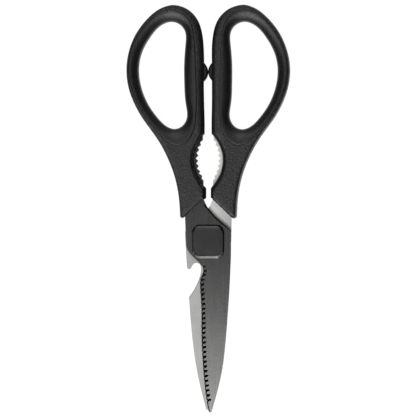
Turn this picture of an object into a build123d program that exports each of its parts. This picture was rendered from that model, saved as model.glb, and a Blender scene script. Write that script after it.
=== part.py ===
from build123d import *
import os

# Kitchen shears, closed, lying flat on the undersides of the handles.
# Millimetres.  +Y runs towards the finger loops, -Y towards the blade tips,
# +Z up.  The origin is under the middle of the whole shears, on the surface
# that they lie on.  The front half is the upper blade with the left handle,
# the back half the lower blade with the right handle.

# ---------------------------------------------------------------- dimensions
PIVOT_Y = -16.9            # pivot axis, from the middle of the overall length

HANDLE_T = 11.0            # handle thickness
MID_Z = HANDLE_T / 2       # plane between the two blades
BLADE_T = 2.5              # blade stock
BLADE_GAP = 0.10           # running gap between the blades
BACK_LO = MID_Z - BLADE_GAP / 2 - BLADE_T
BACK_HI = MID_Z - BLADE_GAP / 2
FRONT_LO = MID_Z + BLADE_GAP / 2
FRONT_HI = MID_Z + BLADE_GAP / 2 + BLADE_T
TIP_TAPER = 1.15           # stock lost on the back blade's outer face at the tip
TAPER_START = -14.0        # where that taper starts, from the pivot
DISTAL_START, DISTAL_RUN = -9.0, 40.0   # front blade: the curve that leads into
DISTAL_SLOPE = 0.0194      # its taper, and the slope that it ends in

EDGE_LAND = 0.35           # thickness left at the back blade's cutting edge
BEVEL_W = 2.6              # width of the back blade's ground bevel
FRONT_BEVEL_W, FRONT_BEVEL_H = 0.60, 0.60   # bevel of the serrated edge
SERR_R = 0.66              # half width of one serration
SERR_DEPTH = 2.35          # how far it reaches across the outer face
SERR_FOOT = 0.10           # and how far it reaches at the cutting plane
SERR_SLANT = 18            # degrees that it slants towards the handles
SPINE_CHAMFER = 0.12
SHOULDER_BEVEL_W, SHOULDER_BEVEL_H = 1.05, 0.65   # ground-off edge of the shoulder
HOOK_BEVEL = 0.30          # bevel along the lower side of the opener notch

HANDLE_EDGE = 0.95         # rounding of the handle's outer edges
LOOP_EDGE = 1.7            # rounding of the liner's rim round the finger hole
WEB_LO, WEB_HI = 2.2, HANDLE_T - 2.2   # hard web inside the soft liner
WEB_INSET = 1.6            # web stops this far outside the finger hole
ANCHOR_R = 1.9             # holes through the tangs that lock the mouldings

BORE_R = 3.55              # front blade's running bore
BARREL_R = 3.50            # barrel nut, the journal
FLAT_HALF = 3.0            # half the distance over the barrel's two flats
NUT_FLANGE_R, NUT_FLANGE_T = 7.0, 1.2
BARREL_TOP = FRONT_HI + 0.60
SCREW_R = 2.0
SCREW_HEAD_R, SCREW_HEAD_T = 5.5, 1.0
DISC_OUT_R, DISC_IN_R, DISC_T = 5.3, 3.7, 0.3
THIN_R, THIN_T, THIN_SEAT = 6.0, 0.40, 0.33   # friction washer and its seat

CAP_H = 2.35
CAP_ROOM_R, CAP_ROOF = 5.9, 0.65
# the cap's outlines: height, (width, length), centre, corner radius
CAP_OUTLINES = [(0.0, (16.6, 17.45), (0, 0), 4.1), (CAP_H - 0.55, (15.6, 16.7), (-0.12, -0.3), 3.6),
                (CAP_H, (15.35, 14.55), (-0.12, -0.215), 3.5)]
CAP_DISH = (CAP_H, (14.4, 13.6), (-0.12, -0.215), 3.0)   # shallow dish in the top
CAP_DISH_D = 0.12
PEG_R, PEG_L, PEG_X, PEG_Y = 0.8, 1.2, 5.9, 6.0

BUMPER_R = 6.35            # half-round stops on the loops' inner sides
BUMPER_TIP = -0.07         # x of the left stop's crown: 0.14 mm between the two
BUMPER_Y = 87.5
BUMPER_LO, BUMPER_HI = 1.6, HANDLE_T - 1.6

# ------------------------------------------------- outlines, from the pivot
# each moulding as a left one: up the inner side, over the loop, down the outer side
LOOP_LEFT = [(-1.72, 55.4), (-1.68, 59.6), (-1.84, 66.9), (-2.02, 74.1), (-2.1, 82.6),
             (-1.95, 91.9), (-2.13, 98.9), (-2.74, 105.8), (-3.46, 109.4), (-4.92, 113.45),
             (-7.42, 117.1), (-10.7, 119.8), (-14.5, 121.4), (-18.2, 121.95),
             (-22.1, 121.3), (-26.17, 119.42), (-30.16, 116.25), (-33.98, 112.09),
             (-37.33, 107.22), (-40.27, 100.72), (-41.8, 94.51), (-42.3, 88.8),
             (-41.88, 82.58), (-40.53, 76.75), (-38.14, 70.83), (-34.62, 64.43),
             (-27.49, 54.44), (-23.96, 48.84), (-20.57, 41.95), (-17.89, 34.87),
             (-15.73, 25.79), (-14.93, 19.1), (-14.6, 13.0)]
HEEL_LEFT = [(-14.6, 13.0), (-13.9, 12.15), (-12.35, 12.5)]
COLLAR_LEFT = [(-12.35, 12.5), (-2.9, 21.6), (-2.0, 21.75), (-0.9, 22.5), (-0.9, 27.1)]
BITE_LEFT = [(-0.9, 27.1), (-1.36, 28.0), (-2.2, 28.85), (-3.1, 30.1), (-4.0, 31.8),
             (-5.85, 35.4), (-7.05, 39.3), (-7.35, 42.6), (-6.75, 46.2), (-5.2, 49.9),
             (-3.75, 52.7), (-2.6, 54.6), (-1.72, 55.4)]
HOLE_LEFT = [(-18.75, 113.46), (-24.24, 111.77), (-30.22, 105.28), (-34.28, 97.67),
             (-35.86, 88.8), (-34.61, 79.62), (-31.02, 70.84), (-25.83, 63.56),
             (-21.04, 59.26), (-17.4, 58.15), (-13.58, 59.57), (-11.07, 63.79),
             (-11.6, 70.78), (-12.37, 80.8), (-12.48, 90.6), (-11.76, 101.52),
             (-12.2, 108.83), (-14.8, 112.05)]
LOOP_RIGHT = [(-1.78, 55.4), (-1.76, 59.6), (-1.86, 66.9), (-1.96, 74.1), (-1.94, 82.6),
              (-1.92, 91.9), (-1.88, 98.9), (-2.43, 105.86), (-3.14, 109.5), (-4.68, 113.6),
              (-7.31, 117.2), (-10.68, 119.84), (-14.52, 121.38), (-18.2, 121.95),
              (-22.09, 121.28), (-26.1, 119.29), (-29.98, 116.08), (-33.79, 111.93),
              (-37.1, 107.09), (-40.03, 100.65), (-41.72, 94.49), (-42.3, 88.8),
              (-41.87, 82.6), (-40.49, 76.77), (-38.15, 70.83), (-34.66, 64.4),
              (-27.52, 54.41), (-24.01, 48.81), (-20.6, 41.94), (-17.95, 34.86),
              (-15.83, 25.77), (-15.13, 19.08), (-14.86, 13.0)]
HEEL_RIGHT = [(-14.86, 13.0), (-14.05, 12.1), (-12.35, 12.5)]
COLLAR_RIGHT = [(-12.35, 12.5), (-2.43, 22.05), (-1.95, 22.3), (-1.38, 22.6), (-1.38, 27.2)]
BITE_RIGHT = [(-1.38, 27.2), (-1.75, 28.0), (-2.45, 28.9), (-3.6, 30.5), (-4.95, 32.5),
              (-6.05, 34.7), (-6.9, 37.3), (-7.4, 40.1), (-7.5, 42.6), (-7.15, 45.7),
              (-6.05, 48.9), (-4.75, 51.6), (-3.0, 54.1), (-1.78, 55.4)]
HOLE_RIGHT = [(-18.75, 113.4), (-24.07, 111.52), (-29.93, 105.09), (-34.0, 97.56),
              (-35.77, 88.8), (-34.69, 79.6), (-31.22, 70.73), (-26.08, 63.35),
              (-21.2, 58.97), (-17.4, 57.94), (-13.54, 59.54), (-11.2, 63.83),
              (-11.7, 70.76), (-12.33, 80.8), (-12.38, 90.6), (-11.58, 101.5),
              (-12.0, 108.92), (-14.73, 112.14)]
CREASE = [(-18.4, 119.65), (-13.3, 117.8), (-9.4, 113.6), (-7.55, 107.0), (-6.9, 101.0),
          (-6.35, 89.1), (-5.95, 75.3), (-6.15, 65.4), (-7.0, 58.8), (-8.85, 54.1),
          (-11.3, 51.4), (-14.4, 49.9), (-17.45, 49.9), (-20.8, 51.6), (-25.2, 55.7),
          (-29.2, 60.4), (-32.7, 65.4), (-37.9, 75.3), (-40.35, 83.2), (-40.95, 89.1),
          (-40.1, 97.0), (-37.75, 103.2), (-34.2, 108.7), (-30.3, 113.5), (-26.2, 117.0),
          (-22.4, 119.1)]

# front blade
F_SHOULDER = [(0.1, 17.1), (3.15, 13.5), (6.15, 10.6), (9.1, 8.2), (11.2, 6.4)]
F_CORNER = [(11.2, 6.4), (11.62, 5.85), (11.75, 5.0)]
F_SPINE = [(11.75, 5.0), (11.77, -2.6), (11.66, -9.5), (11.4, -15.0), (11.15, -21.0),
           (10.67, -29.4), (10.25, -35.6), (9.8, -41.8), (9.3, -48.0), (8.73, -54.2),
           (8.04, -60.4), (7.12, -66.6), (5.8, -72.8), (4.3, -79.0), (3.15, -83.1),
           (2.0, -86.9)]
F_TIP = [(2.0, -86.9), (1.0, -88.1), (0.1, -87.1)]
F_EDGE = [(0.1, -87.1), (-1.65, -75.9), (-2.75, -63.5), (-3.3, -53.2), (-3.47, -42.0),
          (-3.6, -32.0), (-4.1, -25.0), (-4.25, -21.2)]
F_HEEL = [(-4.25, -21.2), (-3.8, -18.6), (-2.7, -16.2), (-2.6, -13.8), (-4.05, -11.4),
          (-6.9, -8.65), (-9.6, -5.85), (-10.9, -3.6), (-11.3, -1.3)]
F_LEFT = [(-11.3, -1.3), (-11.9, 12.4), (-12.25, 18.85), (-13.0, 25.6), (-15.1, 34.6),
          (-17.45, 41.0), (-20.0, 45.5)]
TANG_END = [(-20.0, 45.5), (-19.0, 47.0), (-12.6, 47.4), (-9.6, 50.6), (-5.9, 56.6),
            (-5.3, 61.7), (-3.5, 61.7), (-2.95, 55.6)]
JAW = [(-2.7, 54.0), (-2.75, 52.25), (-4.1, 51.2), (-3.7, 49.7), (-5.4, 48.6), (-4.65, 47.2),
       (-6.0, 45.75), (-5.05, 44.35), (-6.4, 42.9), (-5.1, 41.65), (-6.15, 40.3),
       (-4.85, 39.0), (-5.75, 37.65), (-4.15, 36.4), (-4.7, 35.05), (-3.1, 34.0),
       (-3.35, 32.6), (-2.35, 31.4)]
NECK = [(-2.35, 31.4), (-2.5, 28.1), (-2.6, 22.7), (-2.1, 21.2), (-0.6, 18.05), (0.1, 17.1)]
SERRATION_Y = [-12.9, -15.15, -17.4, -19.9] + [-22.4 - 2.478 * i for i in range(25)]

# back blade below the shoulder
B_LEFT = [(-12.1, 4.6), (-11.75, -1.8), (-11.05, -13.2)]
B_HOOK = [(-11.05, -13.2), (-10.75, -13.95), (-9.7, -14.3), (-8.8, -13.5), (-8.05, -12.0),
          (-6.7, -11.2), (-5.5, -11.2), (-4.5, -11.75), (-3.87, -13.1), (-3.9, -16.0),
          (-5.0, -20.1), (-7.5, -25.2), (-10.0, -28.9)]
B_SPINE = [(-10.0, -28.9), (-9.4, -37.2), (-7.3, -57.8), (-5.8, -67.1), (-4.25, -74.4),
           (-1.3, -85.9)]
B_TIP = [(-1.3, -85.9), (-0.5, -86.9), (0.35, -86.0)]
B_EDGE = [(0.35, -86.0), (1.6, -75.9), (2.65, -63.5), (3.2, -53.2), (3.4, -42.0),
          (3.5, -32.0), (3.6, -21.0)]
B_HEEL = [(3.6, -21.0), (3.8, -15.0), (6.9, -8.65), (10.5, -3.6), (11.85, 2.0)]
B_RIGHT = [(11.85, 2.0), (12.0, 12.4)]


def level(h):
    """Horizontal plane at height h, its origin on the pivot axis."""
    return Plane(origin=(0, PIVOT_Y, h))


def flipped(points):
    """The same points in the plane's mirror, x to -x."""
    return [(-x, y) for x, y in points]


def pushed(points, d):
    """A closed run of points, moved outwards by d (anticlockwise run)."""
    out = []
    for i, (x, y) in enumerate(points):
        x0, y0 = points[i - 1]
        x1, y1 = points[(i + 1) % len(points)]
        tx, ty = x1 - x0, y1 - y0
        size = (tx * tx + ty * ty) ** 0.5
        out.append((x + d * ty / size, y - d * tx / size))
    return out


def along(points, y):
    """x of a run of points at a given y."""
    pts = sorted(points, key=lambda p: p[1])
    for (x0, y0), (x1, y1) in zip(pts, pts[1:]):
        if y0 <= y <= y1:
            return x0 + (x1 - x0) * (y - y0) / (y1 - y0)
    return pts[0][0] if y < pts[0][1] else pts[-1][0]


def distal_drop(y):
    """How far the front blade's outer face has fallen away at y, from the pivot."""
    run = DISTAL_START - y
    if run <= 0:
        return 0.0
    if run < DISTAL_RUN:
        return run * run * DISTAL_SLOPE / (2 * DISTAL_RUN)
    return DISTAL_SLOPE * (run - DISTAL_RUN / 2)


os.makedirs("parts", exist_ok=True)

# ---------------------------------------------------------------- front blade
with BuildPart() as front_stock:
    with BuildSketch(level(FRONT_LO)):
        with BuildLine():
            Spline(*F_SHOULDER)
            ThreePointArc(*F_CORNER)
            Spline(*F_SPINE)
            ThreePointArc(*F_TIP)
            Spline(*F_EDGE)
            Spline(*F_HEEL)
            Spline(*F_LEFT)
            Polyline(*TANG_END, *JAW)
            Polyline(*NECK)
        make_face()
    extrude(amount=BLADE_T)
    # spine edge of the outer face, broken by a chamfer
    spine_top = [e for e in front_stock.edges().group_by(Axis.Z)[-1]
                 if e.center().X > 4 and e.length > 30]
    chamfer(spine_top, SPINE_CHAMFER)
    # the outer face curves away below the cap and then falls towards the tip
    bend_mid, bend_end = DISTAL_START - DISTAL_RUN / 2, DISTAL_START - DISTAL_RUN
    with BuildSketch(Plane(origin=(-25, PIVOT_Y, 0), x_dir=(0, 1, 0), z_dir=(1, 0, 0))):
        with BuildLine():
            ThreePointArc((DISTAL_START, FRONT_HI), (bend_mid, FRONT_HI - distal_drop(bend_mid)),
                          (bend_end, FRONT_HI - distal_drop(bend_end)))
            Polyline((bend_end, FRONT_HI - distal_drop(bend_end)),
                     (-95, FRONT_HI - distal_drop(-95)), (-95, FRONT_HI + 2),
                     (DISTAL_START, FRONT_HI + 2), (DISTAL_START, FRONT_HI))
        make_face()
    extrude(amount=50, mode=Mode.SUBTRACT)
    # pivot bore, holes for the cap's pegs and the moulding's anchor holes
    with Locations((0, PIVOT_Y, FRONT_LO)):
        Cylinder(BORE_R, 3 * BLADE_T, mode=Mode.SUBTRACT)
    with BuildSketch(level(FRONT_HI - PEG_L)):
        with Locations((PEG_X, PEG_Y), (-PEG_X, -PEG_Y)):
            Circle(PEG_R)
    extrude(amount=PEG_L, mode=Mode.SUBTRACT)
    with BuildSketch(level(FRONT_LO)):
        with Locations((-8.3, 27.0), (-13.6, 41.3)):
            Circle(ANCHOR_R)
    extrude(amount=BLADE_T, mode=Mode.SUBTRACT)

# steep ground bevel of the serrated edge, as a cutter with a section every few
# millimetres along the real curve of the edge
with BuildLine() as cutting_edge:
    Spline(*F_EDGE)
    Spline(*F_HEEL)
EDGE_POINTS = [tuple(e @ (i / 60))[:2] for e in cutting_edge.edges() for i in range(61)]
with BuildPart() as front_bevel:
    stations = [-2.4 - 0.8 * i for i in range(25)] + [-27.0 - 6.0 * i for i in range(10)]
    for y in stations + [-84.0, -87.0, -89.5]:
        edge_x = along(EDGE_POINTS, y) if y > -87.05 else 0.1 + (-87.1 - y) * 0.18
        top = FRONT_HI - distal_drop(y)
        rise = FRONT_BEVEL_H / FRONT_BEVEL_W
        with BuildSketch(Plane(origin=(0, PIVOT_Y + y, 0), x_dir=(1, 0, 0),
                               z_dir=(0, -1, 0))):
            Polygon((edge_x - 0.6, top - FRONT_BEVEL_H - 0.6 * rise),
                    (edge_x + FRONT_BEVEL_W + 0.3, top + 0.3 * rise),
                    (edge_x - 0.6, top + 0.3 * rise), align=None)
    loft(ruled=True)

# serrations: slots that run down to the cutting plane at a slope, slanted a
# little towards the handles
with BuildPart() as serrations:
    for i, y in enumerate(SERRATION_Y):
        small = (0.8, 0.9)[i] if i < 2 else 1.0
        edge_x = along(F_EDGE + F_HEEL[:5], y)
        top = FRONT_HI - distal_drop(y)
        inward = Vector(1, 0, 0).rotate(Axis.Z, SERR_SLANT)
        end = Vector(edge_x, PIVOT_Y + y - 0.25, top) + inward * (SERR_DEPTH * small)
        foot = Vector(edge_x, PIVOT_Y + y - 0.25, FRONT_LO) + inward * SERR_FOOT
        down = (foot - end).normalized()
        across = Vector(0, 0, 1).cross(inward)
        run = SERR_DEPTH * small + 3
        with BuildSketch(Plane(origin=end - down * 1.0, x_dir=across.cross(down) * -1,
                               z_dir=down)):
            with Locations((-run / 2, 0)):
                SlotOverall(run, 2 * SERR_R * small)
        extrude(amount=BLADE_T + 4)

# the shoulder's edge is ground off wider
with BuildLine() as shoulder_edge:
    Spline(*F_SHOULDER)
SHOULDER_POINTS = [tuple(shoulder_edge.edges()[0] @ (i / 80))[:2] for i in range(81)]
with BuildPart() as shoulder_bevel:
    rise = SHOULDER_BEVEL_H / SHOULDER_BEVEL_W
    for y in (19.0, 17.05, 15.5, 14.0, 12.5, 11.0, 9.5, 8.0, 6.45, 4.0):
        edge_x = along(SHOULDER_POINTS, y) if 6.4 < y < 17.1 else \
            (-1.5 if y > 17.1 else 14.0)
        with BuildSketch(Plane(origin=(0, PIVOT_Y + y, 0), x_dir=(1, 0, 0),
                               z_dir=(0, -1, 0))):
            Polygon((edge_x + 0.8, FRONT_HI - SHOULDER_BEVEL_H - 0.8 * rise),
                    (edge_x - SHOULDER_BEVEL_W - 0.3, FRONT_HI + 0.3 * rise),
                    (edge_x + 0.8, FRONT_HI + 0.3 * rise), align=None)
    loft(ruled=True)

with BuildPart() as front_blade:
    add(front_stock.part)
    add(shoulder_bevel.part, mode=Mode.SUBTRACT)
    add(front_bevel.part, mode=Mode.SUBTRACT)
    add(serrations.part, mode=Mode.SUBTRACT)
front_blade.part.label = "front_blade"

# ----------------------------------------------------------------- back blade
with BuildPart() as back_stock:
    with BuildSketch(level(BACK_LO)):
        with BuildLine():
            Spline(*flipped(F_SHOULDER[:-1]), (-11.5, 6.2))
            Line((-11.5, 6.2), B_LEFT[0])
            Spline(*B_LEFT)
            Spline(*B_HOOK)
            Spline(*B_SPINE)
            ThreePointArc(*B_TIP)
            Spline(*B_EDGE)
            Spline(*B_HEEL)
            Spline(*B_RIGHT, *flipped(F_LEFT[2:]))
            Polyline(*flipped(TANG_END), *flipped(JAW))
            Polyline(*flipped(NECK[:-1]), (-0.1, 17.1))
        make_face()
    extrude(amount=BLADE_T)
    # the outer (under) face rises towards the tip
    with BuildSketch(Plane(origin=(-25, PIVOT_Y, 0), x_dir=(0, 1, 0), z_dir=(1, 0, 0))):
        Polygon((TAPER_START, BACK_LO), (-95, BACK_LO + TIP_TAPER * 1.09),
                (-95, BACK_LO - 2), (TAPER_START, BACK_LO - 2), align=None)
    extrude(amount=50, mode=Mode.SUBTRACT)
    # two flats in the pivot hole key the barrel nut
    with BuildSketch(level(BACK_LO)) as keyed:
        Circle(BARREL_R)
        Rectangle(2 * FLAT_HALF, 4 * BARREL_R, mode=Mode.INTERSECT)
    extrude(amount=BLADE_T, mode=Mode.SUBTRACT)
    # seat of the friction washer in the inner face
    with BuildSketch(level(BACK_HI - THIN_SEAT)):
        Circle(THIN_R + 0.1)
    extrude(amount=THIN_SEAT, mode=Mode.SUBTRACT)
    with BuildSketch(level(BACK_LO)):
        with Locations((8.3, 27.0), (13.6, 41.3)):
            Circle(ANCHOR_R)
    extrude(amount=BLADE_T, mode=Mode.SUBTRACT)

# ground bevel on the under face of the back blade's cutting edge
with BuildPart() as back_bevel:
    for y in (-19.0, -32.0, -42.0, -53.2, -63.5, -75.9, -89.0):
        edge_x = along(B_EDGE, y) if y > -88 else -0.6
        bottom = BACK_LO + (TAPER_START - y) * TIP_TAPER * 1.09 / (95 + TAPER_START)
        run = (BACK_HI - EDGE_LAND - bottom) / BEVEL_W
        with BuildSketch(Plane(origin=(0, PIVOT_Y + y, 0), x_dir=(1, 0, 0),
                               z_dir=(0, -1, 0))):
            Polygon((edge_x + 3, BACK_HI - EDGE_LAND + 3 * run),
                    (edge_x - BEVEL_W - 0.6, bottom - 0.6 * run), (edge_x + 3, bottom - 2),
                    align=None)
    loft(ruled=True)

# bevel on the upper face along the lower side of the opener notch, fading in
with BuildLine() as notch_side:
    Spline(*B_HOOK)
NOTCH_POINTS = [tuple(notch_side.edges()[0] @ (i / 200))[:2] for i in range(201)]
NOTCH_POINTS = [q for q in NOTCH_POINTS if q[1] < -15.5]
with BuildPart() as notch_bevel:
    for y in (-17.5, -19.0, -20.5, -22.0, -23.5, -25.0, -26.5, -28.0, -28.85, -30.5):
        edge_x = along(NOTCH_POINTS, y) if y > -28.9 else -10.0 + (-28.9 - y) * -0.75
        w = HOOK_BEVEL * min(1.0, max(0.08, (-17.3 - y) / 3.0))
        with BuildSketch(Plane(origin=(0, PIVOT_Y + y, 0), x_dir=(1, 0, 0),
                               z_dir=(0, -1, 0))):
            Polygon((edge_x - 0.4, BACK_HI - w - 0.4), (edge_x + w + 0.3, BACK_HI + 0.3),
                    (edge_x - 0.4, BACK_HI + 0.3), align=None)
    loft(ruled=True)

with BuildPart() as back_blade:
    add(back_stock.part)
    add(back_bevel.part, mode=Mode.SUBTRACT)
    add(notch_bevel.part, mode=Mode.SUBTRACT)
back_blade.part.label = "back_blade"

# ------------------------------------------------- mouldings and finger liners
# All of these are built as left-hand ones.


def bare_moulding(loop_run, heel, collar, bite, hole):
    """A moulding with its pockets for the liner: through the finger hole, and above
    and below the hard web that carries the liner."""
    with BuildPart() as made:
        with BuildSketch(level(0)):
            with BuildLine():
                Spline(*loop_run)
                ThreePointArc(*heel)
                Polyline(*collar)
                Spline(*bite)
            make_face()
        extrude(amount=HANDLE_T)
        rims = made.faces().filter_by(Axis.Z).edges()
        fillet(rims, HANDLE_EDGE)
        with BuildSketch(level(-1)):
            with BuildLine():
                Spline(*pushed(hole, WEB_INSET), periodic=True)
            make_face()
        extrude(amount=HANDLE_T + 2, mode=Mode.SUBTRACT)
        for z, height in ((WEB_HI, HANDLE_T - WEB_HI + 1), (WEB_LO, -WEB_LO - 1)):
            with BuildSketch(level(z)):
                with BuildLine():
                    Spline(*CREASE, periodic=True)
                make_face()
            extrude(amount=height, mode=Mode.SUBTRACT)
    return made.part


def grip_liner(hole):
    """The soft band round a finger hole, with room for the hard web inside it."""
    with BuildPart() as made:
        with BuildSketch(level(0)):
            with BuildLine():
                Spline(*CREASE, periodic=True)
            make_face()
            with BuildLine():
                Spline(*hole, periodic=True)
            make_face(mode=Mode.SUBTRACT)
        extrude(amount=HANDLE_T)
        hole_rims = [e for e in made.edges() if e.geom_type == GeomType.BSPLINE
                     and e.length < 160 and abs(e.center().Z - MID_Z) > 4]
        fillet(hole_rims, LOOP_EDGE)
    with BuildPart() as slab:
        with BuildSketch(level(WEB_LO)):
            with Locations((-22, 86)):
                Rectangle(80, 110)
        extrude(amount=WEB_HI - WEB_LO)
        with BuildSketch(level(WEB_LO - 1)):
            with BuildLine():
                Spline(*pushed(hole, WEB_INSET), periodic=True)
            make_face()
        extrude(amount=WEB_HI - WEB_LO + 2, mode=Mode.SUBTRACT)
    with BuildPart() as liner:
        add(made.part)
        add(slab.part, mode=Mode.SUBTRACT)
    return liner.part


# ------------------------------------------------------------- left-hand stop
with BuildPart() as left_bumper:
    with BuildSketch(level(BUMPER_LO)):
        with Locations((BUMPER_TIP - BUMPER_R, BUMPER_Y)):
            Circle(BUMPER_R)
        with Locations((-2.3 + 5, BUMPER_Y)):
            Rectangle(10, 20, mode=Mode.INTERSECT)
    extrude(amount=BUMPER_HI - BUMPER_LO)
    chamfer([e for e in left_bumper.edges() if e.geom_type == GeomType.CIRCLE], 0.7)
    # dovetailed stem, pressed into the loop
    with BuildSketch(level(BUMPER_LO + 1.2)):
        Polygon((-2.3, BUMPER_Y - 2.2), (-2.3, BUMPER_Y + 2.2), (-4.6, BUMPER_Y + 3.0),
                (-4.6, BUMPER_Y - 3.0), align=None)
    extrude(amount=BUMPER_HI - BUMPER_LO - 2.4)
left_bumper.part.label = "left_bumper"

with BuildPart() as right_bumper:
    mirror(left_bumper.part, about=Plane.YZ)
right_bumper.part.label = "right_bumper"

# --------------------------------------------------------------- grip liners
with BuildPart() as left_grip_liner:
    add(grip_liner(HOLE_LEFT))
left_grip_liner.part.label = "left_grip_liner"

with BuildPart() as right_grip_liner:
    mirror(grip_liner(HOLE_RIGHT), about=Plane.YZ)
right_grip_liner.part.label = "right_grip_liner"

# ------------------------------------------------------------------- handles
with BuildPart() as left_handle:
    add(bare_moulding(LOOP_LEFT, HEEL_LEFT, COLLAR_LEFT, BITE_LEFT, HOLE_LEFT))
    add(left_bumper.part, mode=Mode.SUBTRACT)
    add(front_blade.part, mode=Mode.SUBTRACT)
left_handle.part.label = "left_handle"

with BuildPart() as right_handle:
    mirror(bare_moulding(LOOP_RIGHT, HEEL_RIGHT, COLLAR_RIGHT, BITE_RIGHT, HOLE_RIGHT),
           about=Plane.YZ)
    add(right_bumper.part, mode=Mode.SUBTRACT)
    add(back_blade.part, mode=Mode.SUBTRACT)
right_handle.part.label = "right_handle"

# --------------------------------------------------------------- pivot stack
with BuildPart() as pivot_nut:
    with BuildSketch(level(BACK_LO - NUT_FLANGE_T)):
        Circle(NUT_FLANGE_R)
    extrude(amount=NUT_FLANGE_T)
    fillet(pivot_nut.faces().sort_by(Axis.Z)[0].edges(), 0.5)
    with BuildSketch(level(BACK_LO)):
        Circle(BARREL_R)
        Rectangle(2 * FLAT_HALF, 4 * BARREL_R, mode=Mode.INTERSECT)
    extrude(amount=BLADE_T - THIN_SEAT)
    with BuildSketch(level(BACK_HI - THIN_SEAT)):
        Circle(BARREL_R)
    extrude(amount=BARREL_TOP - BACK_HI + THIN_SEAT)
    # threaded hole and the driver slot in the flange
    with BuildSketch(level(BACK_LO + 0.1)):
        Circle(SCREW_R)
    extrude(amount=BARREL_TOP - BACK_LO, mode=Mode.SUBTRACT)
    with BuildSketch(level(BACK_LO - NUT_FLANGE_T)):
        Rectangle(9.0, 1.5)
    extrude(amount=0.6, mode=Mode.SUBTRACT)
pivot_nut.part.label = "pivot_nut"

with BuildPart() as pivot_screw:
    with BuildSketch(level(BACK_LO + 0.3)):
        Circle(SCREW_R - 0.02)
    extrude(amount=BARREL_TOP - BACK_LO - 0.3)
    with BuildSketch(level(BARREL_TOP)):
        Circle(SCREW_HEAD_R)
    extrude(amount=SCREW_HEAD_T)
    chamfer(pivot_screw.faces().sort_by(Axis.Z)[-1].edges(), 0.25)
    with BuildSketch(level(BARREL_TOP + SCREW_HEAD_T - 0.75)):
        RegularPolygon(1.45, 6)
    extrude(amount=0.75, mode=Mode.SUBTRACT)
pivot_screw.part.label = "pivot_screw"

with BuildPart() as spring_washer:
    with BuildSketch(Plane(origin=(0, PIVOT_Y, FRONT_HI), x_dir=(1, 0, 0),
                           z_dir=(0, -1, 0))):
        Polygon((DISC_OUT_R, 0.03), (DISC_OUT_R, 0.03 + DISC_T), (DISC_IN_R, 0.60),
                (DISC_IN_R, 0.60 - DISC_T), align=None)
    revolve(axis=Axis((0, PIVOT_Y, 0), (0, 0, 1)))
spring_washer.part.label = "spring_washer"

with BuildPart() as friction_washer:
    with BuildSketch(level(BACK_HI - THIN_SEAT)):
        Circle(THIN_R)
        Circle(BARREL_R + 0.1, mode=Mode.SUBTRACT)
    extrude(amount=THIN_T)
friction_washer.part.label = "friction_washer"

def cap_outline(h, size, centre, radius):
    """A rounded rectangle of the cap at height h above the blade."""
    with BuildSketch(level(FRONT_HI + h)) as made:
        with Locations(centre):
            RectangleRounded(*size, radius)
    return made.sketch.faces()[0]


CAP_RIMS = [cap_outline(*outline) for outline in CAP_OUTLINES]
with BuildPart() as cap_dish:
    extrude(cap_outline(*CAP_DISH), amount=-CAP_DISH_D, taper=50, dir=(0, 0, 1))

with BuildPart() as pivot_cap:
    # drafted skirt, then unequal bevels up to the flat top
    loft(CAP_RIMS[:2], ruled=True)
    loft(CAP_RIMS[1:], ruled=True)
    add(cap_dish.part, mode=Mode.SUBTRACT)
    with BuildSketch(level(FRONT_HI)):
        Circle(CAP_ROOM_R)
    extrude(amount=CAP_H - CAP_ROOF, mode=Mode.SUBTRACT)
    with BuildSketch(level(FRONT_HI - PEG_L)):
        with Locations((PEG_X, PEG_Y), (-PEG_X, -PEG_Y)):
            Circle(PEG_R)
    extrude(amount=PEG_L)
pivot_cap.part.label = "pivot_cap"

# -------------------------------------------------------------------- export
export_step(front_blade.part, "parts/front_blade.step")
export_step(back_blade.part, "parts/back_blade.step")
export_step(left_handle.part, "parts/left_handle.step")
export_step(right_handle.part, "parts/right_handle.step")
export_step(left_grip_liner.part, "parts/left_grip_liner.step")
export_step(right_grip_liner.part, "parts/right_grip_liner.step")
export_step(left_bumper.part, "parts/left_bumper.step")
export_step(right_bumper.part, "parts/right_bumper.step")
export_step(pivot_cap.part, "parts/pivot_cap.step")
export_step(pivot_screw.part, "parts/pivot_screw.step")
export_step(pivot_nut.part, "parts/pivot_nut.step")
export_step(spring_washer.part, "parts/spring_washer.step")
export_step(friction_washer.part, "parts/friction_washer.step")
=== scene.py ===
import math

import bpy
import numpy as np
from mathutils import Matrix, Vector
from mathutils.geometry import delaunay_2d_cdt


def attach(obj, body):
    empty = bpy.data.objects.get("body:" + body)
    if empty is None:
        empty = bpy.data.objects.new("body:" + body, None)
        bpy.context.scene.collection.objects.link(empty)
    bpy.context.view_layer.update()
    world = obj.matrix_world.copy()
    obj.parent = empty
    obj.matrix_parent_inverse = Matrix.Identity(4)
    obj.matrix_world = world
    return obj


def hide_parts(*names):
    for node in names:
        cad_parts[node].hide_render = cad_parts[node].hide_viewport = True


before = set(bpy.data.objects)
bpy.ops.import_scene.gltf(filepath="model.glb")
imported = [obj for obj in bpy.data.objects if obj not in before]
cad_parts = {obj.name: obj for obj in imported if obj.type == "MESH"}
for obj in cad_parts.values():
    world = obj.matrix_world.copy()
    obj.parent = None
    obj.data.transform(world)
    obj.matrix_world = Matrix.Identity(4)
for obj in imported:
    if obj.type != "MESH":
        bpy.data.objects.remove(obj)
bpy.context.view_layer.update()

# ------------------------------------------------------------------ camera
# Straight down on the closed shears, a touch from the right, long lens.
CENTRE = Vector((-0.00015, 0.00040, 0.0055))
DISTANCE = 1.1934
TILT = math.radians(2.2)
cam_data = bpy.data.cameras.new("camera")
cam_data.type = "PERSP"
cam_data.lens = 200
cam_data.sensor_width = 36
cam_data.clip_end = 10
cam = bpy.data.objects.new("camera", cam_data)
cam.location = CENTRE + Vector((math.sin(TILT), 0, math.cos(TILT))) * DISTANCE
cam.rotation_euler = (0, TILT, 0)
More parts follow.
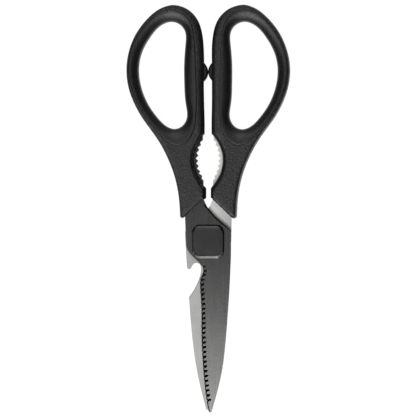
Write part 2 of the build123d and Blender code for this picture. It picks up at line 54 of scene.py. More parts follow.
bpy.context.scene.collection.objects.link(cam)
bpy.context.scene.camera = cam
bpy.context.scene.view_settings.view_transform = "Standard"

# ------------------------------------------------------------- outlines, mm
# Plan outlines from the pivot axis, as in the construction, both as left-hand ones.
PIVOT_Y = -16.9
T = 11.0
MID = T / 2
LOOP_LEFT = [(-1.72, 55.4), (-1.68, 59.6), (-1.84, 66.9), (-2.02, 74.1), (-2.1, 82.6),
             (-1.95, 91.9), (-2.13, 98.9), (-2.74, 105.8), (-3.46, 109.4), (-4.92, 113.45),
             (-7.42, 117.1), (-10.7, 119.8), (-14.5, 121.4), (-18.2, 121.95),
             (-22.1, 121.3), (-26.17, 119.42), (-30.16, 116.25), (-33.98, 112.09),
             (-37.33, 107.22), (-40.27, 100.72), (-41.8, 94.51), (-42.3, 88.8),
             (-41.88, 82.58), (-40.53, 76.75), (-38.14, 70.83), (-34.62, 64.43),
             (-27.49, 54.44), (-23.96, 48.84), (-20.57, 41.95), (-17.89, 34.87),
             (-15.73, 25.79), (-14.93, 19.1), (-14.6, 13.0)]
HEEL_LEFT = [(-14.6, 13.0), (-13.9, 12.15), (-12.35, 12.5)]
COLLAR_LEFT = [(-12.35, 12.5), (-2.9, 21.6), (-2.0, 21.75), (-0.9, 22.5), (-0.9, 27.1)]
BITE_LEFT = [(-0.9, 27.1), (-1.36, 28.0), (-2.2, 28.85), (-3.1, 30.1), (-4.0, 31.8),
             (-5.85, 35.4), (-7.05, 39.3), (-7.35, 42.6), (-6.75, 46.2), (-5.2, 49.9),
             (-3.75, 52.7), (-2.6, 54.6), (-1.72, 55.4)]
HOLE_LEFT = [(-18.75, 113.46), (-24.24, 111.77), (-30.22, 105.28), (-34.28, 97.67),
             (-35.86, 88.8), (-34.61, 79.62), (-31.02, 70.84), (-25.83, 63.56),
             (-21.04, 59.26), (-17.4, 58.15), (-13.58, 59.57), (-11.07, 63.79),
             (-11.6, 70.78), (-12.37, 80.8), (-12.48, 90.6), (-11.76, 101.52),
             (-12.2, 108.83), (-14.8, 112.05)]
LOOP_RIGHT = [(-1.78, 55.4), (-1.76, 59.6), (-1.86, 66.9), (-1.96, 74.1), (-1.94, 82.6),
              (-1.92, 91.9), (-1.88, 98.9), (-2.43, 105.86), (-3.14, 109.5), (-4.68, 113.6),
              (-7.31, 117.2), (-10.68, 119.84), (-14.52, 121.38), (-18.2, 121.95),
              (-22.09, 121.28), (-26.1, 119.29), (-29.98, 116.08), (-33.79, 111.93),
              (-37.1, 107.09), (-40.03, 100.65), (-41.72, 94.49), (-42.3, 88.8),
              (-41.87, 82.6), (-40.49, 76.77), (-38.15, 70.83), (-34.66, 64.4),
              (-27.52, 54.41), (-24.01, 48.81), (-20.6, 41.94), (-17.95, 34.86),
              (-15.83, 25.77), (-15.13, 19.08), (-14.86, 13.0)]
HEEL_RIGHT = [(-14.86, 13.0), (-14.05, 12.0), (-12.14, 12.28)]
COLLAR_RIGHT = [(-12.14, 12.28), (-2.22, 21.83), (-1.95, 22.3), (-1.38, 22.6), (-1.38, 27.2)]
BITE_RIGHT = [(-1.38, 27.2), (-1.75, 28.0), (-2.45, 28.9), (-3.6, 30.5), (-4.95, 32.5),
              (-6.05, 34.7), (-6.9, 37.3), (-7.4, 40.1), (-7.5, 42.6), (-7.15, 45.7),
              (-6.05, 48.9), (-4.75, 51.6), (-3.0, 54.1), (-1.78, 55.4)]
HOLE_RIGHT = [(-18.75, 113.4), (-24.07, 111.52), (-29.93, 105.09), (-34.0, 97.56),
              (-35.77, 88.8), (-34.69, 79.6), (-31.22, 70.73), (-26.08, 63.35),
              (-21.2, 58.97), (-17.4, 57.94), (-13.54, 59.54), (-11.2, 63.83),
              (-11.7, 70.76), (-12.33, 80.8), (-12.38, 90.6), (-11.58, 101.5),
              (-12.0, 108.92), (-14.73, 112.14)]
TOP_OF_LOOP = (-18.2, 121.95)
CREASE = [(-18.4, 119.65), (-13.3, 117.8), (-9.4, 113.6), (-7.55, 107.0), (-6.9, 101.0),
          (-6.35, 89.1), (-5.95, 75.3), (-6.15, 65.4), (-7.0, 58.8), (-8.85, 54.1),
          (-11.3, 51.4), (-14.4, 49.9), (-17.45, 49.9), (-20.8, 51.6), (-25.2, 55.7),
          (-29.2, 60.4), (-32.7, 65.4), (-37.9, 75.3), (-40.35, 83.2), (-40.95, 89.1),
          (-40.1, 97.0), (-37.75, 103.2), (-34.2, 108.7), (-30.3, 113.5), (-26.2, 117.0),
          (-22.4, 119.1)]
STEP = 0.35          # spacing of points along an outline


def cubic(points, closed=False, step=STEP):
    """Points every step along the interpolating cubic through the given points."""
    p = np.array(points, float)
    if closed:
        p = np.vstack([p, p[:1]])
    n = len(p)
    u = np.concatenate([[0], np.cumsum(np.hypot(*np.diff(p, axis=0).T))])
    h = np.diff(u)
    a = np.zeros((n, n))
    b = np.zeros((n, 2))
    slope = np.diff(p, axis=0) / h[:, None]
    for i in range(1, n - 1):
        a[i, i - 1], a[i, i], a[i, i + 1] = h[i], 2 * (h[i - 1] + h[i]), h[i - 1]
        b[i] = 3 * (h[i] * slope[i - 1] + h[i - 1] * slope[i])
    if closed:
        a[0, 0], a[0, 1], a[0, n - 2] = 2 * (h[-1] + h[0]), h[-1], h[0]
        b[0] = 3 * (h[0] * slope[-1] + h[-1] * slope[0])
        a[-1, 0], a[-1, -1] = 1, -1
    else:
        a[0, 0], a[0, 1] = 2, 1
        b[0] = 3 * slope[0]
        a[-1, -1], a[-1, -2] = 2, 1
        b[-1] = 3 * slope[-1]
    m = np.linalg.solve(a, b)
    count = max(2, int(round(u[-1] / step)))
    t = np.linspace(0, u[-1], count + 1)
    k = np.clip(np.searchsorted(u, t, side="right") - 1, 0, n - 2)
    s = ((t - u[k]) / h[k])[:, None]
    hk = h[k][:, None]
    out = ((2 * s ** 3 - 3 * s ** 2 + 1) * p[k] + (s ** 3 - 2 * s ** 2 + s) * hk * m[k]
           + (-2 * s ** 3 + 3 * s ** 2) * p[k + 1] + (s ** 3 - s ** 2) * hk * m[k + 1])
    return out[:-1] if closed else out


def straight(points, step=STEP):
    """Points every step along straight runs, corners kept."""
    out = []
    for (x0, y0), (x1, y1) in zip(points, points[1:]):
        n = max(1, int(round(math.hypot(x1 - x0, y1 - y0) / step)))
        out += [(x0 + (x1 - x0) * i / n, y0 + (y1 - y0) * i / n) for i in range(n)]
    out.append(points[-1])
    return np.array(out)


def arc3(points, n=8):
    """Points along the circle arc through three points."""
    (ax, ay), (bx, by), (cx, cy) = points
    d = 2 * (ax * (by - cy) + bx * (cy - ay) + cx * (ay - by))
    ux = ((ax * ax + ay * ay) * (by - cy) + (bx * bx + by * by) * (cy - ay)
          + (cx * cx + cy * cy) * (ay - by)) / d
    uy = ((ax * ax + ay * ay) * (cx - bx) + (bx * bx + by * by) * (ax - cx)
          + (cx * cx + cy * cy) * (bx - ax)) / d
    r = math.hypot(ax - ux, ay - uy)
    t0, t1, t2 = (math.atan2(y - uy, x - ux) for x, y in points)
    while t1 - t0 > math.pi: t1 -= 2 * math.pi
    while t1 - t0 < -math.pi: t1 += 2 * math.pi
    while t2 - t1 > math.pi: t2 -= 2 * math.pi
    while t2 - t1 < -math.pi: t2 += 2 * math.pi
    t = np.linspace(t0, t2, n + 1)
    return np.stack([ux + r * np.cos(t), uy + r * np.sin(t)], 1)


def polyline_distance(q, line, closed=False):
    """Distance of each point of q from a polyline."""
    a = line if closed else line[:-1]
    b = np.roll(line, -1, 0) if closed else line[1:]
    best = np.full(len(q), 1e9)
    ab = b - a
    ll = np.maximum((ab ** 2).sum(1), 1e-12)
    for i in range(0, len(q), 2000):
        w = q[i:i + 2000, None, :] - a[None]
        t = np.clip((w * ab[None]).sum(2) / ll[None], 0, 1)
        d = w - t[..., None] * ab[None]
        best[i:i + 2000] = np.sqrt((d ** 2).sum(2).min(1))
    return best


def inside(q, loop):
    """Which points of q lie inside a closed outline."""
    a, b = loop, np.roll(loop, -1, 0)
    hit = np.zeros(len(q), bool)
    for i in range(0, len(q), 2000):
        x, y = q[i:i + 2000, 0][:, None], q[i:i + 2000, 1][:, None]
        cross = (a[None, :, 1] > y) != (b[None, :, 1] > y)
        dy = np.where(np.abs(b[:, 1] - a[:, 1]) < 1e-12, 1e-12, b[:, 1] - a[:, 1])
        at = a[None, :, 0] + (y - a[None, :, 1]) * ((b[:, 0] - a[:, 0]) / dy)[None]
        hit[i:i + 2000] = ((cross & (x < at)).sum(1) % 2) == 1
    return hit


def offsets(loop, amounts):
    """Points beside a closed outline, at each distance on both of its sides."""
    t = np.roll(loop, -1, 0) - np.roll(loop, 1, 0)
    t /= np.linalg.norm(t, axis=1)[:, None]
    nrm = np.stack([t[:, 1], -t[:, 0]], 1)
    out = []
    for d in amounts:
        keep = max(1, int(round(min(d, 1.2) / 0.45)))
        for s in (-1, 1):
            out.append((loop + s * d * nrm)[::keep])
    return np.vstack(out)


def triangulate(outer, holes, rings, spacing):
    """Points and triangles of a region: its outlines, rings of points beside them, a grid."""
    loops = [outer] + list(holes)
    lo, hi = outer.min(0), outer.max(0)
    extra = [offsets(l, r) for l, r in zip(loops, rings)]
    gx, gy = np.meshgrid(np.arange(lo[0], hi[0], spacing),
                         np.arange(lo[1], hi[1], spacing * 0.866))
    gx = gx + (np.arange(gx.shape[0]) % 2)[:, None] * spacing / 2
    grid = np.stack([gx.ravel(), gy.ravel()], 1)
    chosen = [np.vstack(loops)]
    # each ring keeps only points that really are that far from every outline
    for l, r in zip(loops, rings):
        for d in r:
            q = offsets(l, [d])
            ok = inside(q, outer)
            for h in holes:
                ok &= ~inside(q, h)
            q = q[ok]
            near = np.min([polyline_distance(q, m, True) for m in loops], 0)
            chosen.append(q[near > d * 0.93])
    ok = inside(grid, outer)
    for h in holes:
        ok &= ~inside(grid, h)
    grid = grid[ok]
    for l, r in zip(loops, rings):
        grid = grid[polyline_distance(grid, l, True) > max(r) + spacing * 0.45]
    chosen.append(grid)
    pts = np.vstack(chosen)
    edges, k = [], 0
    for l in loops:
        edges += [(k + i, k + (i + 1) % len(l)) for i in range(len(l))]
        k += len(l)
    v, _, f, _, _, _ = delaunay_2d_cdt([Vector(p) for p in pts], edges, [], 0, 1e-5, False)
    v = np.array([tuple(p) for p in v])
    f = np.array([t for t in f if len(t) == 3])
    mid = v[f].mean(1)
    ok = inside(mid, outer)
    for h in holes:
        ok &= ~inside(mid, h)
    f = f[ok]
    a, b, c = v[f[:, 0]], v[f[:, 1]], v[f[:, 2]]
    area = (b[:, 0] - a[:, 0]) * (c[:, 1] - a[:, 1]) - (b[:, 1] - a[:, 1]) * (c[:, 0] - a[:, 0])
    f[area < 0] = f[area < 0][:, ::-1]
    return v, f[np.abs(area) > 1e-9]


def two_sided(name, v, f, top, bottom, mirrored=False, wall_rows=4):
    """A closed mesh from a plan triangulation and a height for each side, in metres.
    Where the heights meet, both sides share the point; elsewhere a wall closes it."""
    used = np.unique(f)
    remap = -np.ones(len(v), int)
    remap[used] = np.arange(len(used))
    v, f, top, bottom = v[used], remap[f], top[used], bottom[used]
    n = len(v)
    shared = np.abs(top - bottom) < 1e-6
    low = np.arange(n)
    low[~shared] = n + np.arange((~shared).sum())
    co = np.vstack([np.column_stack([v, top]),
                    np.column_stack([v[~shared], bottom[~shared]])])
    faces = [tuple(t) for t in f.tolist()] + [tuple(t) for t in low[f][:, ::-1].tolist()]
    # boundary edges of the plan
    e = np.vstack([f[:, [0, 1]], f[:, [1, 2]], f[:, [2, 0]]])
    have = {tuple(x) for x in e.tolist()}
    rim = [(a, b) for a, b in e.tolist() if (b, a) not in have]
    extra, mids = [], {}

    def column(i):
        """Point indices down the wall at plan point i."""
        if shared[i]:
            return [i]
        if i not in mids:
            rows = [i]
            for k in range(1, wall_rows):
                z = top[i] + (bottom[i] - top[i]) * k / wall_rows
                rows.append(len(co) + len(extra))
                extra.append((v[i, 0], v[i, 1], z))
            rows.append(low[i])
            mids[i] = rows
        return mids[i]

    for a, b in rim:
        ca, cb = column(a), column(b)
        if len(ca) == 1 and len(cb) == 1:
            continue
        if len(ca) == 1:
            ca = ca * len(cb)
        if len(cb) == 1:
            cb = cb * len(ca)
        for i in range(len(ca) - 1):
            quad = [cb[i], ca[i], ca[i + 1], cb[i + 1]]
            quad = [q for j, q in enumerate(quad) if q != quad[j - 1]]
            if len(quad) >= 3:
                faces.append(tuple(int(q) for q in quad))
    if extra:
        co = np.vstack([co, np.array(extra)])
    co = co + np.array([0, PIVOT_Y, 0])
    if mirrored:
        co[:, 0] *= -1
        faces = [t[::-1] for t in faces]
    mesh = bpy.data.meshes.new(name)
    mesh.from_pydata((co / 1000).tolist(), [], faces)
    mesh.validate()
    mesh.update()
    mesh.shade_smooth()
    obj = bpy.data.objects.new(name, mesh)
    bpy.context.scene.collection.objects.link(obj)
    return obj


def curve(table, d):
    """Height from a table of (distance in from the edge, height)."""
    t = np.array(table)
    return np.interp(d, t[:, 0], t[:, 1])


def smooth_curve(table, d):
    """The same, rounded off: averages the table over a short distance."""
    return sum(curve(table, np.maximum(d + s, 0)) for s in (-0.08, -0.04, 0, 0.04, 0.08)) / 5


def soft_min(a, b, k):
    h = np.clip(0.5 + 0.5 * (b - a) / k, 0, 1)
    return b * (1 - h) + a * h - k * h * (1 - h)


# ------------------------------------------------------------------ outlines
class Outline:
    """One moulding's plan: its named runs, the closed outline and the finger hole."""

    def __init__(self, loop, heel, collar, bite, hole):
        run = cubic(loop)
        top_at = int(np.argmin(np.hypot(*(run - np.array(TOP_OF_LOOP)).T)))
        self.gap = run[:top_at + 1]
        self.outer = np.vstack([run[top_at:], arc3(heel)[1:]])
        self.chevron = straight(collar[:2])
        self.collar = straight(collar[1:], 0.3)
        self.bite = cubic(bite)
        # the slope beside the neck is measured from its upright wall, carried on down
        self.neck = straight([(collar[-1][0], collar[-2][1] - 6), collar[-1]], 0.3)
        whole = np.vstack([self.gap[:-1], self.outer[:-1], self.chevron[:-1],
                           self.collar[:-1], self.bite[:-1]])
        # a hair inside the construction's outline, so that nothing stands proud of it
        t = np.roll(whole, -1, 0) - np.roll(whole, 1, 0)
        t /= np.linalg.norm(t, axis=1)[:, None]
        self.whole = whole - 0.02 * np.stack([t[:, 1], -t[:, 0]], 1)
        self.hole = cubic(hole, True)


left_outline = Outline(LOOP_LEFT, HEEL_LEFT, COLLAR_LEFT, BITE_LEFT, HOLE_LEFT)
right_outline = Outline(LOOP_RIGHT, HEEL_RIGHT, COLLAR_RIGHT, BITE_RIGHT, HOLE_RIGHT)
crease = cubic(CREASE, True)

# heights in from each edge: (mm in, height)
OUTER_L = [(0, MID), (0.08, 8.0), (0.20, 9.8), (0.35, 10.3), (0.65, 10.65), (1.0, 10.84),
           (1.6, 10.96), (2.6, 11.0)]
OUTER_R = [(0, MID), (0.16, 7.6), (0.44, 9.6), (0.66, 10.15), (0.98, 10.58), (1.5, 10.85),
           (2.2, 10.97), (3.1, 11.0)]
OUTER_R_LOOP = [(0, MID), (0.05, 7.6), (0.22, 9.3), (0.46, 9.95), (0.82, 10.42), (1.3, 10.73),
                (2.0, 10.94), (3.0, 11.0)]
GAP_L = [(0, 8.9), (0.03, 9.35), (0.6, 9.82), (1.3, 10.32), (2.0, 10.7), (2.4, 10.85),
         (3.0, 10.96), (4.0, 11.0)]
GAP_R = [(0, 8.9), (0.03, 9.6), (0.5, 9.98), (1.0, 10.35), (1.4, 10.6), (1.9, 10.8),
         (2.8, 10.94), (4.2, 11.0)]
BITE_L = [(0, 8.6), (0.12, 8.8), (0.40, 8.92), (0.50, 9.1), (0.85, 10.1), (1.15, 10.62),
          (1.6, 10.92), (2.3, 11.0)]
BITE_R = [(0, 8.3), (0.25, 9.5), (0.42, 9.85), (0.95, 10.25), (1.3, 10.62), (1.8, 10.9), (2.6, 11.0)]
NECK_L = [(0, 8.6), (0.5, 9.4), (1.1, 10.2), (1.65, 10.8), (2.3, 11.0)]
NECK_R = [(0, 8.6), (0.35, 9.5), (0.8, 10.4), (1.15, 10.85), (1.7, 11.0)]
CHEVRON_EDGE = [(0, MID), (0.03, 10.37), (0.47, 10.73), (1.15, 10.9), (1.8, 11.0)]
HOLE_EDGE = [(0, MID), (0.04, 7.6), (0.35, 8.4), (0.8, 9.05), (1.3, 9.45)]
# below its widest point, the wall of the gap, neck and bite draws in
DRAFT = [(0, 8.9), (0.14, 5.4), (0.32, 1.4), (0.75, 0.6), (1.4, 0.2), (2.4, 0.0)]
LINER_DROP = 1.55
LINER_CURVE = 2.2
CREASE_DEPTH, CREASE_WIDTH = 0.16, 0.13
LOOP_FROM, LOOP_TO = 57.0, 80.0   # where the right rim gets narrower


def liner_and_crease(q, z, plan):
    """Lowers z for the liner's crown inside the crease and for the crease itself."""
    dc = polyline_distance(q, crease, True)
    within = inside(q, crease)
    dh = polyline_distance(q, plan.hole, True)
    a = HOLE_EDGE[-1][0]
    t = np.clip((dh - a) / np.maximum(dh + dc - a, 1e-6), 0, 1)
    liner = np.where(dh < a, curve(HOLE_EDGE, dh),
                     11.0 - LINER_DROP * (1 - t) ** LINER_CURVE)
    z = np.where(within, np.minimum(z, liner), z)
    depth = CREASE_DEPTH
    if plan is right_outline:      # shallower along the right loop's inner side
        depth = CREASE_DEPTH * (1 - 0.7 * np.clip((q[:, 0] + 11.0) / 3.0, 0, 1))
    return z - depth * np.exp(-(dc / CREASE_WIDTH) ** 2)


def gap_share(q, plan):
    """1 beside the gap, falling to 0 over the first 6 mm of the outer run."""
    t = np.clip(polyline_distance(q, plan.gap) / 6.0, 0, 1)
    return 1 - t * t * (3 - 2 * t)


def rim_height(q, d, right, bend, share, wall):
    """Height over the outer rim at distance d; the right one gets narrower up the loop,
    and over the loop's top both turn into the gap's wall."""
    rim = bend(OUTER_R if right else OUTER_L, d)
    if right:
        t = np.clip((q[:, 1] - LOOP_FROM) / (LOOP_TO - LOOP_FROM), 0, 1)
        rim = (1 - t) * rim + t * bend(OUTER_R_LOOP, d)
    return share * wall + (1 - share) * rim


def top_height(q, plan, right):
    """Height of the handle's and the liner's upper face over plan points q."""
    d = np.maximum(polyline_distance(q, plan.outer) - 0.021, 0)
    wall = smooth_curve(GAP_R if right else GAP_L, d)
    z = np.minimum(11.0, rim_height(q, d, right, smooth_curve, gap_share(q, plan), wall))
    for line, table in ((plan.gap, GAP_R if right else GAP_L),
                        (plan.bite, BITE_R if right else BITE_L),
                        (plan.neck, NECK_R if right else NECK_L),
                        (plan.chevron, CHEVRON_EDGE)):
        d = np.maximum(polyline_distance(q, line) - 0.021, 0)
        z = np.minimum(z, smooth_curve(table, d) if table is not CHEVRON_EDGE
                       else curve(table, d))
    return liner_and_crease(q, z, plan)


def low_height(q, plan, right):
    """Height of the lower face: rounded outer edge, drafted inner walls."""
    d = np.maximum(polyline_distance(q, plan.outer) - 0.021, 0)
    wall = T - curve(DRAFT, d)
    z = np.maximum(0.0, T - rim_height(q, d, right, curve, gap_share(q, plan), wall))
    d = np.maximum(polyline_distance(q, plan.chevron) - 0.021, 0)
    z = np.maximum(z, T - curve(CHEVRON_EDGE, d))
    for line in (plan.gap, plan.bite, plan.neck):
        d = np.maximum(polyline_distance(q, line) - 0.021, 0)
        z = np.maximum(z, curve(DRAFT, d))
    return T - liner_and_crease(q, T - z, plan)


def build_half(side):
    right = side == "right"
    plan = right_outline if right else left_outline
    v, f = triangulate(plan.whole, [crease], [[0.06, 0.14, 0.25, 0.42, 0.65, 0.9, 1.2, 1.6,
                                               2.1, 2.7, 3.4], [0.1, 0.22, 0.45, 0.8]], 0.7)
    z, low = top_height(v, plan, right), low_height(v, plan, right)
    edge = polyline_distance(v, plan.whole, True) < 1e-4
    inner = np.min([polyline_distance(v, line) for line in (plan.gap, plan.bite, plan.neck,
                                                            plan.collar)], 0)
    share = np.maximum(np.clip((1.6 - inner) / 1.2, 0, 1), gap_share(v, plan))
    rim = MID + (8.7 - MID) * share
    z[edge] = low[edge] = rim[edge]
    handle = two_sided(side + "_handle_shell", v, f, z, np.minimum(low, z), mirrored=right)
    v, f = triangulate(crease, [plan.hole], [[0.1, 0.22, 0.45, 0.8],
                                             [0.06, 0.14, 0.28, 0.45, 0.7, 1.0, 1.3, 1.8, 2.4]],
                       0.6)
    z = top_height(v, plan, right)
    low = low_height(v, plan, right)
    edge = polyline_distance(v, plan.hole, True) < 1e-4
    z[edge] = low[edge] = MID
    liner = two_sided(side + "_liner_shell", v, f, z, low, mirrored=right)
    return handle, liner


# ------------------------------------------------------------------ materials
def node_material(name):
    mat = bpy.data.materials.new(name)
    mat.use_nodes = True
    nt = mat.node_tree
    bsdf = nt.nodes["Principled BSDF"]
    return mat, nt, bsdf


def noise(nt, vector, scale, detail=2.0, stretch=None, rough=0.5):
    """Noise over object coordinates; stretch scales the axes first."""
    n = nt.nodes.new("ShaderNodeTexNoise")
    n.inputs["Scale"].default_value = scale
    n.inputs["Detail"].default_value = detail
    n.inputs["Roughness"].default_value = rough
    if stretch:
        m = nt.nodes.new("ShaderNodeMapping")
        m.inputs["Scale"].default_value = stretch
        nt.links.new(vector, m.inputs["Vector"])
        vector = m.outputs["Vector"]
    nt.links.new(vector, n.inputs["Vector"])
    return n.outputs["Fac"]


def ranged(nt, value, lo, hi, out_lo, out_hi, smooth=False):
    r = nt.nodes.new("ShaderNodeMapRange")
    if smooth:
        r.interpolation_type = "SMOOTHSTEP"
    for name, v in (("From Min", lo), ("From Max", hi), ("To Min", out_lo), ("To Max", out_hi)):
        r.inputs[name].default_value = v
    nt.links.new(value, r.inputs["Value"])
    return r.outputs["Result"]


def calc(nt, op, a, b, clamp=False):
    m = nt.nodes.new("ShaderNodeMath")
    m.operation = op
    m.use_clamp = clamp
    for i, v in enumerate((a, b)):
        if isinstance(v, (int, float)):
            m.inputs[i].default_value = v
        else:
            nt.links.new(v, m.inputs[i])
    return m.outputs["Value"]


def grey(nt, value, bsdf, tint=(1, 1, 1)):
    """A grey from one value, slightly tinted, into the base colour."""
    col = nt.nodes.new("ShaderNodeCombineColor")
    for c, t in zip(("Red", "Green", "Blue"), tint):
        nt.links.new(value if t == 1 else calc(nt, "MULTIPLY", value, t), col.inputs[c])
    nt.links.new(col.outputs["Color"], bsdf.inputs["Base Color"])


def plastic(name, base, scale, rough, depth, spread=0.25, mottle=0.06, gloss=0.5):
    """Black moulded plastic: spark-eroded grain, and mottling in colour and gloss."""
    mat, nt, bsdf = node_material(name)
    bsdf.inputs["Specular IOR Level"].default_value = gloss
    obj = nt.nodes.new("ShaderNodeTexCoord").outputs["Object"]
    grain = noise(nt, obj, scale, 2.0, rough=0.5)
    fine = noise(nt, obj, scale * 2.7, 1.0)
    wide = noise(nt, obj, 210, 2.0)
    grey(nt, ranged(nt, grain, 0.3, 0.7, base * (1 - spread), base * (1 + spread)), bsdf)
    r = calc(nt, "ADD", ranged(nt, wide, 0.3, 0.7, rough - 0.02, rough + 0.02),
             ranged(nt, grain, 0.3, 0.7, -mottle, mottle))
    nt.links.new(r, bsdf.inputs["Roughness"])
    height = calc(nt, "ADD", grain, calc(nt, "MULTIPLY", fine, 0.35))
    b = nt.nodes.new("ShaderNodeBump")
    b.inputs["Strength"].default_value = 1.0
    b.inputs["Distance"].default_value = depth
    nt.links.new(height, b.inputs["Height"])
    nt.links.new(b.outputs["Normal"], bsdf.inputs["Normal"])
    return mat


def blade_steel(name, outer_up, painted_notch_shade):
    """A blade: satin polished outer face, ground inner face, plain blanked sides whose dark grey is
    painted shade.
    outer_up says whether the outer face looks up; painted_notch_shade darkens the serrations and the
    edge bevel toward the tip further, as painted shade."""
    mat, nt, bsdf = node_material(name)
    bsdf.inputs["Metallic"].default_value = 1.0
    tc = nt.nodes.new("ShaderNodeTexCoord")
    obj = tc.outputs["Object"]
    n = nt.nodes.new("ShaderNodeSeparateXYZ")
    nt.links.new(tc.outputs["Normal"], n.inputs["Vector"])
    nz = n.outputs["Z"] if outer_up else calc(nt, "MULTIPLY", n.outputs["Z"], -1.0)
    outer = ranged(nt, nz, 0.85, 0.97, 0.0, 1.0, True)
    inner = ranged(nt, nz, -0.97, -0.85, 1.0, 0.0, True)
    # grinding lines along the blade, a little fanned out by the wide noise
    lines = noise(nt, obj, 1.0, 3.0, (3000, 45, 900), 0.65)
    broad = noise(nt, obj, 1.0, 2.0, (700, 22, 400), 0.5)
    cross = noise(nt, obj, 1.0, 3.0, (160, 2600, 900), 0.6)
    wide = noise(nt, obj, 90, 2.0)
    satin = calc(nt, "ADD", ranged(nt, lines, 0.3, 0.7, 0.219, 0.252),
                 ranged(nt, broad, 0.3, 0.7, -0.012, 0.012))
    place = nt.nodes.new("ShaderNodeSeparateXYZ")
    nt.links.new(obj, place.inputs["Vector"])
    # painted light: the ground face's grey is raised up to 1.42 times from the pivot up to the jaw
    ground = calc(nt, "MULTIPLY", calc(nt, "ADD", ranged(nt, cross, 0.3, 0.7, 0.54, 0.60),
                                       ranged(nt, wide, 0.3, 0.7, -0.035, 0.035)),
                  ranged(nt, place.outputs["Y"], -0.009, 0.002, 1.0, 1.42, True))
    # painted shade: the blanked sides, bevels and notch walls get a very dark grey in place of the
    # shade on them
    side = ranged(nt, wide, 0.3, 0.7, 0.06, 0.09)
    v = calc(nt, "ADD", calc(nt, "MULTIPLY", satin, outer), calc(nt, "MULTIPLY", ground, inner))
    rest = calc(nt, "SUBTRACT", 1.0, calc(nt, "ADD", outer, inner), True)
    # painted shade: toward the tip, the serrations and the edge bevel (all but faces looking +X) get
    # a tenth of the sides' grey
    if painted_notch_shade:
        near = calc(nt, "MULTIPLY", ranged(nt, place.outputs["Y"], -0.0255, -0.0245, 1.0, 0.0),
                    ranged(nt, n.outputs["X"], 0.45, 0.6, 1.0, 0.0))
        side = calc(nt, "MULTIPLY", side, ranged(nt, near, 0.0, 1.0, 1.0, 0.1))
    v = calc(nt, "ADD", v, calc(nt, "MULTIPLY", side, rest))
    grey(nt, v, bsdf, (1, 0.995, 0.985))
    rough = calc(nt, "ADD", calc(nt, "MULTIPLY", outer, SATIN_ROUGH),
                 calc(nt, "ADD", calc(nt, "MULTIPLY", inner, GROUND_ROUGH),
                      calc(nt, "MULTIPLY", rest, 0.38)))
    nt.links.new(calc(nt, "ADD", rough, ranged(nt, lines, 0.3, 0.7, -0.015, 0.015)),
                 bsdf.inputs["Roughness"])
    b = nt.nodes.new("ShaderNodeBump")
    b.inputs["Strength"].default_value = 1.0
    b.inputs["Distance"].default_value = 0.0000025
    h = calc(nt, "ADD", calc(nt, "MULTIPLY", lines, outer), calc(nt, "MULTIPLY", cross, inner))
    nt.links.new(h, b.inputs["Height"])
    nt.links.new(b.outputs["Normal"], bsdf.inputs["Normal"])
    return mat


def plain_steel(name, base, rough, stretch, wide_gloss=0.025, painted_side_shade=False):
    """Turned or pressed steel: fine lines in colour, gloss and bump; the sides may get painted
    shade, except the bevel facing the tip, which keeps painted light; which is which is told from
    the surface's own direction."""
    mat, nt, bsdf = node_material(name)
    bsdf.inputs["Metallic"].default_value = 1.0
    obj = nt.nodes.new("ShaderNodeTexCoord").outputs["Object"]
    lines = noise(nt, obj, 1.0, 3.0, stretch, 0.6)
    wide = noise(nt, obj, 260, 2.0)
    v = calc(nt, "ADD", ranged(nt, lines, 0.3, 0.7, base * 0.94, base * 1.06),
             ranged(nt, wide, 0.3, 0.7, -0.05 * base, 0.05 * base))
    gloss = ranged(nt, wide, 0.3, 0.7, rough - wide_gloss, rough + wide_gloss)
    if painted_side_shade:
        n = nt.nodes.new("ShaderNodeSeparateXYZ")
        nt.links.new(nt.nodes.new("ShaderNodeTexCoord").outputs["Normal"], n.inputs["Vector"])
        # painted light: the bevel facing the tip stays bright, round its corners too, while the
        # other sides get painted shade
        painted_light_mask = calc(nt, "SUBTRACT", n.outputs["Z"], calc(nt, "MULTIPLY", n.outputs["Y"], 0.3))
        v = calc(nt, "MULTIPLY", v, ranged(nt, painted_light_mask, 0.64, 0.84, 0.03, 1.0, True))
        gloss = calc(nt, "ADD", gloss, ranged(nt, painted_light_mask, 0.64, 0.84, 0.5, 0.0, True))
    grey(nt, v, bsdf, (1, 0.995, 0.985))
    nt.links.new(gloss, bsdf.inputs["Roughness"])
    b = nt.nodes.new("ShaderNodeBump")
    b.inputs["Strength"].default_value = 1.0
    b.inputs["Distance"].default_value = 0.000002
    nt.links.new(lines, b.inputs["Height"])
    nt.links.new(b.outputs["Normal"], bsdf.inputs["Normal"])
    return mat


SATIN_ROUGH = 0.235
GROUND_ROUGH = 0.68
handle_plastic = plastic("handle_plastic", 0.0025, 1150, 0.45, 0.00018, 0.25, 0.09, 0.66)
liner_rubber = plastic("liner_rubber", 0.0025, 1400, 0.44, 0.00006, 0.25, 0.05, 0.72)
bumper_rubber = plastic("bumper_rubber", 0.0025, 1900, 0.50, 0.00004, 0.25, 0.04, 0.36)
front_steel = blade_steel("front_steel", True, True)
back_steel = blade_steel("back_steel", False, False)
cap_steel = plain_steel("cap_steel", 0.38, 0.18, (2600, 60, 900), 0.004, True)
fastener_steel = plain_steel("fastener_steel", 0.5, 0.32, (900, 900, 900))
washer_plastic = plastic("washer_plastic", 0.55, 900, 0.5, 0.00003, 0.1)

for side, body in (("left", "front_half"), ("right", "back_half")):
    handle, liner = build_half(side)
    handle.data.materials.append(handle_plastic)
    liner.data.materials.append(liner_rubber)
    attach(handle, body)
    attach(liner, body)
    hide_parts(side + "_handle")
    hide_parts(side + "_grip_liner")

for node, mat in (("front_blade", front_steel), ("back_blade", back_steel),
                  ("pivot_cap", cap_steel), ("pivot_nut", fastener_steel),
                  ("pivot_screw", fastener_steel), ("spring_washer", fastener_steel),
                  ("friction_washer", washer_plastic), ("left_bumper", bumper_rubber),
                  ("right_bumper", bumper_rubber)):
    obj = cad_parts[node]
    obj.data.materials.clear()
    obj.data.materials.append(mat)

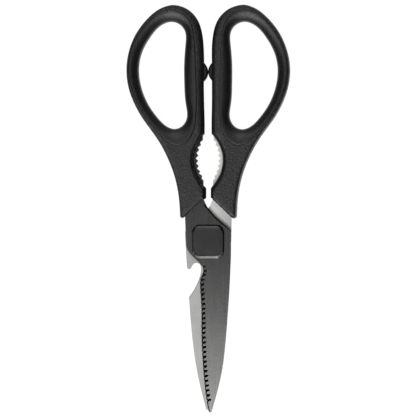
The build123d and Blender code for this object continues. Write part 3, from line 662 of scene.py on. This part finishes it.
# ------------------------------------------------------------ floor and light
bpy.ops.mesh.primitive_plane_add(size=6, location=(0, 0, -0.0001))
floor = bpy.context.object
floor.name = "floor"
fmat, fnt, fbsdf = node_material("floor")
fbsdf.inputs["Base Color"].default_value = (0.15, 0.15, 0.15, 1)
fbsdf.inputs["Roughness"].default_value = 0.9
fbsdf.inputs["Specular IOR Level"].default_value = 0.1
fbsdf.inputs["Emission Color"].default_value = (1, 1, 1, 1)
fbsdf.inputs["Emission Strength"].default_value = 0.96
floor.data.materials.append(fmat)


def softbox(name, place, aim, size_x, size_y, radiance):
    """A rectangular soft light of a given radiance."""
    d = bpy.data.lights.new(name, "AREA")
    d.shape = "RECTANGLE"
    d.size, d.size_y = size_x, size_y
    d.energy = radiance * math.pi * size_x * size_y
    o = bpy.data.objects.new(name, d)
    o.location = place
    o.rotation_euler = (Vector(aim) - Vector(place)).to_track_quat("-Z", "Y").to_euler()
    bpy.context.scene.collection.objects.link(o)


softbox("main_light", (-0.22, -0.66, 1.20), (0, 0, 0), 1.20, 0.85, 4.2)
softbox("fill_light", (-0.10, 0.80, 1.15), (0, 0, 0), 0.80, 0.50, 2.6)

world = bpy.data.worlds.new("world")
world.use_nodes = True
wnt = world.node_tree
sky = wnt.nodes.new("ShaderNodeSeparateXYZ")
wnt.links.new(wnt.nodes.new("ShaderNodeTexCoord").outputs["Generated"], sky.inputs["Vector"])
ramp = wnt.nodes.new("ShaderNodeMapRange")
ramp.interpolation_type = "SMOOTHSTEP"
for key, val in (("From Min", 0.02), ("From Max", 0.30), ("To Min", 0.07), ("To Max", 0.02)):
    ramp.inputs[key].default_value = val
wnt.links.new(sky.outputs["Z"], ramp.inputs["Value"])


def sky_calc(op, a, b):
    m = wnt.nodes.new("ShaderNodeMath")
    m.operation = op
    for i, v in enumerate((a, b)):
        if isinstance(v, (int, float)):
            m.inputs[i].default_value = v
        else:
            wnt.links.new(v, m.inputs[i])
    return m.outputs["Value"]


def sky_range(value, lo, hi, out_lo, out_hi):
    r = wnt.nodes.new("ShaderNodeMapRange")
    r.interpolation_type = "SMOOTHSTEP"
    for key, val in (("From Min", lo), ("From Max", hi), ("To Min", out_lo), ("To Max", out_hi)):
        r.inputs[key].default_value = val
    wnt.links.new(value, r.inputs["Value"])
    return r.outputs["Result"]


# two soft low walls of light, beyond the tip and beyond the loops
along_y = sky_calc("ABSOLUTE", sky.outputs["Y"], 0.0)
walls = sky_calc("MULTIPLY", sky_range(along_y, 0.45, 0.85, 0.0, 0.32),
                 sky_calc("MULTIPLY", sky_range(sky.outputs["Z"], 0.06, 0.22, 0.0, 1.0),
                          sky_range(sky.outputs["Z"], 0.55, 0.75, 1.0, 0.0)))
strength = sky_calc("ADD", ramp.outputs["Result"], walls)
back = wnt.nodes["Background"]
back.inputs["Color"].default_value = (1, 1, 1, 1)
wnt.links.new(strength, back.inputs["Strength"])
bpy.context.scene.world = world
